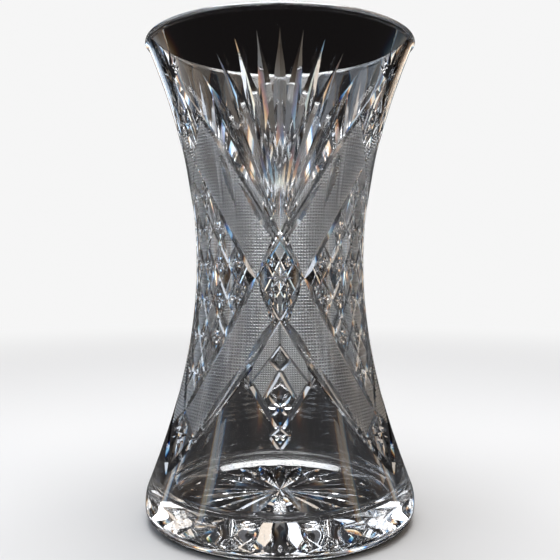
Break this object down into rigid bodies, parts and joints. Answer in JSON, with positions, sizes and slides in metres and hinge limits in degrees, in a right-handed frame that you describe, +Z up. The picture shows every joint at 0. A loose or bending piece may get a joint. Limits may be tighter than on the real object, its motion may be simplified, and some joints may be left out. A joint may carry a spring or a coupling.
{
  "type": "cut crystal vase",
  "caption": "Waisted clear lead-crystal vase with flared rim and thick foot, wheel-cut with crossing bands, rayed fans and a star underneath.",
  "frame": {"origin": "centre of the flat underside, on the surface that the vase stands on", "axes": "+Z up along the vase's axis; -Y through the middle of one rayed fan, which is taken as the front"},
  "size_m": [0.1706, 0.1706, 0.3],
  "materials": {
    "crystal": "clear polished lead crystal with bright wheel cuts"
  },
  "bodies": {
    "root": {"vase_body": "crystal"}
  },
  "joints": []
}
